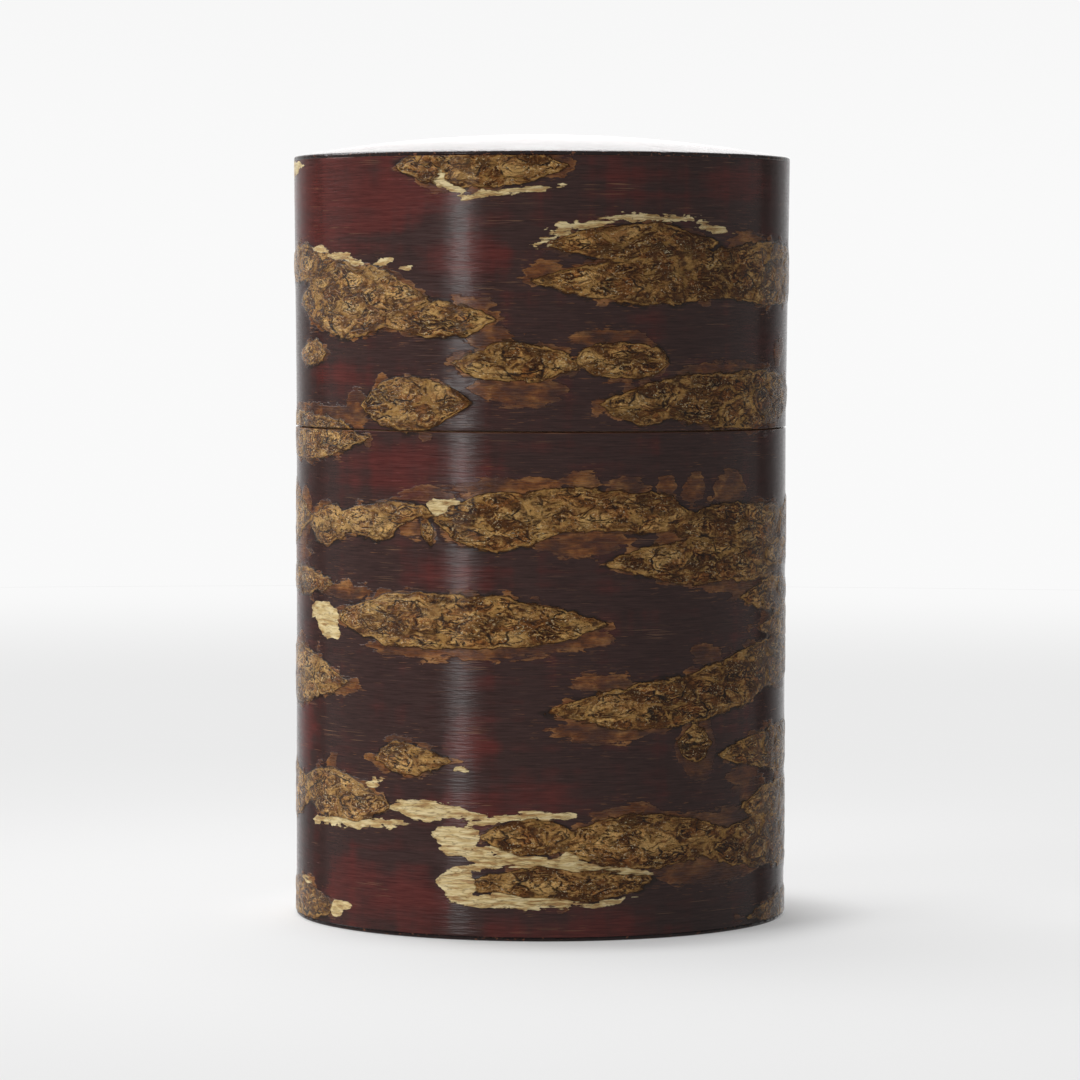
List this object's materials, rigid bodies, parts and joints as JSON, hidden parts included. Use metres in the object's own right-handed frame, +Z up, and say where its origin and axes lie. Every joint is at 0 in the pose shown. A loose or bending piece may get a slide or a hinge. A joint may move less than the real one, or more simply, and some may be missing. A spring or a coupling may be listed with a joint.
{
  "type": "tea caddy",
  "caption": "Cylindrical bark-covered wooden tea caddy with a domed slip-on lid, an inner guide sleeve and a knobbed stopper lid.",
  "frame": {"origin": "centre of the round base, on the plane that the caddy stands on", "axes": "+Z up along the caddy's axis, out through the crown of the lid; -Y is the front in the picture; the bark wraps' joints face +Y"},
  "size_m": [0.0759, 0.0758, 0.1193],
  "materials": {
    "outer_bark": "polished wild cherry bark, dark red brown with rough golden-brown corky patches",
    "end_bark": "polished smooth cherry bark, glossy",
    "smooth_bark": "polished smooth cherry bark with fine short pore lines",
    "veneer": "pale wound wood veneer, sanded edge",
    "veneer_inner": "pale wound wood veneer, sanded edge",
    "plate_wood": "fine-grained pale wood, sanded",
    "knob_wood": "turned cherry wood, polished"
  },
  "bodies": {
    "body": {"body_bark_wrap": "outer_bark", "body_outer_ply": "veneer", "body_inner_ply": "veneer_inner", "body_lining": "smooth_bark", "base_plate": "plate_wood", "base_bark": "end_bark", "floor_bark": "smooth_bark", "sleeve_core": "veneer", "sleeve_bark": "smooth_bark", "sleeve_lining": "smooth_bark"},
    "lid": {"lid_bark_wrap": "outer_bark", "lid_outer_ply": "veneer", "lid_inner_ply": "veneer_inner", "lid_lining": "smooth_bark", "crown_plate": "plate_wood", "crown_bark": "end_bark", "ceiling_bark": "smooth_bark"},
    "stopper": {"stopper_plate": "plate_wood", "stopper_top_bark": "smooth_bark", "stopper_rim_band": "smooth_bark", "stopper_plug_band": "smooth_bark", "stopper_under_bark": "smooth_bark", "stopper_knob": "knob_wood", "stopper_knob_bark": "smooth_bark"}
  },
  "joints": [
    {"name": "lid_lift", "type": "slide", "parent": "body", "child": "lid", "axis": [0, 0, 1], "range_m": [0, 0.06]},
    {"name": "stopper_lift", "type": "slide", "parent": "body", "child": "stopper", "axis": [0, 0, 1], "range_m": [0, 0.0066]}
  ]
}
